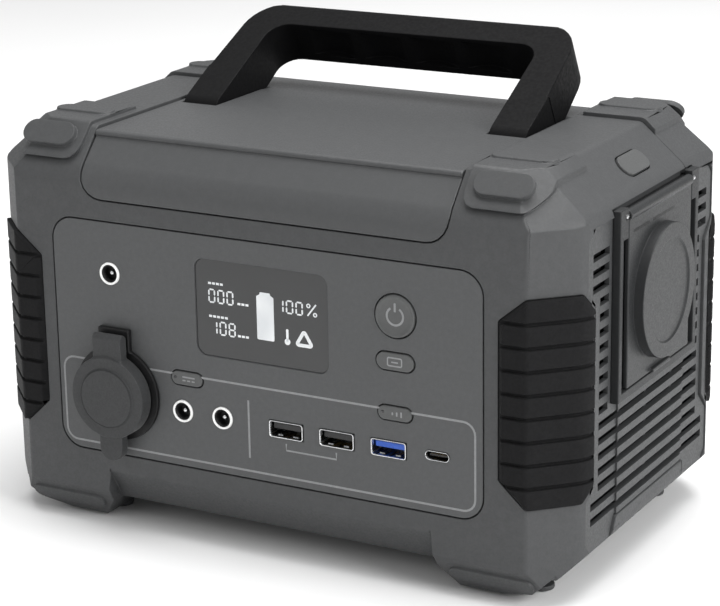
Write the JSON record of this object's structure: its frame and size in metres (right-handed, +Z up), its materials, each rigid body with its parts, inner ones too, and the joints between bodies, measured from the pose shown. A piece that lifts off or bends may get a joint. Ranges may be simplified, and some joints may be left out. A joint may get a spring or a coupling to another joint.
{
  "type": "portable power station",
  "caption": "Portable battery power station: bevelled case with saddle top cover, folding handle, control panel with display, capped car socket, lidded mains socket and side vents.",
  "frame": {"origin": "middle of the overall box in plan, on the plane the feet stand on", "axes": "+Z up; the control panel faces -Y; the mains socket faces +X; +X is also the long way of the case"},
  "size_m": [0.243, 0.1544, 0.177],
  "materials": {
    "case_grey": "fine grained moulded ABS",
    "cover_grey": "fine grained moulded ABS, a little lighter",
    "panel_grey": "fine grained moulded ABS",
    "display_lens": "smoked acrylic, gloss",
    "black_plastic": "black nylon, matte",
    "vent_black": "black ABS, matte",
    "handle_black": "textured black nylon",
    "button_grey": "satin ABS",
    "plate_grey": "light grey ABS, satin",
    "jack_white": "white nylon jack body",
    "grip_rubber": "moulded rubber, matte",
    "cap_rubber": "soft rubber, matte",
    "lid_grey": "grey polycarbonate, satin",
    "line_ink": "light grey screen-printed ink",
    "display_light": "lit display segments",
    "plated_steel": "bright nickel plate",
    "black_steel": "black zinc plated steel",
    "contact_brass": "plain brass",
    "tongue_blue": "blue nylon",
    "cell_wrap": "shrink wrapped cell",
    "circuit_green": "lacquered circuit board",
    "sink_aluminium": "extruded, plain",
    "winding_copper": "enamelled copper and tape",
    "capacitor_can": "sleeved can"
  },
  "bodies": {
    "case": {"front_housing": "case_grey", "rear_housing": "case_grey", "top_cover": "cover_grey", "control_panel": "panel_grey", "screen_window": "display_lens", "display_module": "black_plastic", "dc_in_jack": "jack_white", "dc_out_jacks": "jack_white", "usb_shells": "plated_steel", "usb_tongues": "black_plastic", "usb_fast_tongue": "tongue_blue", "usb_c_shell": "plated_steel", "usb_c_tongue": "black_plastic", "car_socket": "black_plastic", "car_socket_contact": "contact_brass", "button_switches": "black_plastic", "right_vent_grille": "vent_black", "left_vent_grille": "vent_black", "ac_socket_plate": "plate_grey", "ac_socket_insert": "black_plastic", "ac_socket_contacts": "contact_brass", "ac_cover_pin": "plated_steel", "grip_front_right": "grip_rubber", "grip_front_left": "grip_rubber", "grip_rear_right": "grip_rubber", "grip_rear_left": "grip_rubber", "handle_pins": "plated_steel", "case_screws": "black_steel", "battery_cells": "cell_wrap", "cell_holders": "black_plastic", "cell_strips": "plated_steel", "battery_tray": "black_plastic", "bms_board": "circuit_green", "inverter_board": "circuit_green", "heat_sinks": "sink_aluminium", "transformer": "winding_copper", "capacitors": "capacitor_can", "control_board": "circuit_green", "fan_frame": "black_plastic"},
    "handle": {"handle": "handle_black"},
    "car_cap": {"car_socket_cap": "cap_rubber"},
    "mains_lid": {"ac_socket_cover": "lid_grey"},
    "power_key": {"power_button": "button_grey"},
    "display_key": {"display_button": "button_grey"},
    "dc_key": {"dc_button": "button_grey"},
    "usb_key": {"usb_button": "button_grey"},
    "mains_key": {"ac_button": "button_grey"},
    "fan": {"fan_rotor": "black_plastic"}
  },
  "joints": [
    {"name": "handle_fold", "type": "hinge", "parent": "case", "child": "handle", "pos_m": [-0.00215, 0.00365, 0.144], "axis": [1, 0, 0], "range_deg": [0, 62]},
    {"name": "car_cap_hinge", "type": "hinge", "parent": "case", "child": "car_cap", "pos_m": [-0.06275, -0.07345, 0.0756], "axis": [-1, 0, 0], "range_deg": [0, 140]},
    {"name": "mains_lid_hinge", "type": "hinge", "parent": "case", "child": "mains_lid", "pos_m": [0.11675, 0.00365, 0.1304], "axis": [0, -1, 0], "range_deg": [0, 120]},
    {"name": "power_press", "type": "slide", "parent": "case", "child": "power_key", "axis": [0, 1, 0], "range_m": [0, 0.0008], "stiffness_N_per_m": 1800, "springref_m": -0.0004},
    {"name": "display_press", "type": "slide", "parent": "case", "child": "display_key", "axis": [0, 1, 0], "range_m": [0, 0.0008], "stiffness_N_per_m": 1800, "springref_m": -0.0004},
    {"name": "dc_press", "type": "slide", "parent": "case", "child": "dc_key", "axis": [0, 1, 0], "range_m": [0, 0.0008], "stiffness_N_per_m": 1800, "springref_m": -0.0004},
    {"name": "usb_press", "type": "slide", "parent": "case", "child": "usb_key", "axis": [0, 1, 0], "range_m": [0, 0.0008], "stiffness_N_per_m": 1800, "springref_m": -0.0004},
    {"name": "mains_press", "type": "slide", "parent": "case", "child": "mains_key", "axis": [-0.6508, 0, -0.7593], "range_m": [0, 0.0008], "stiffness_N_per_m": 1800, "springref_m": -0.0004},
    {"name": "fan_spin", "type": "hinge", "parent": "case", "child": "fan", "pos_m": [-0.10315, 0.00365, 0.079], "axis": [1, 0, 0], "continuous": true}
  ]
}
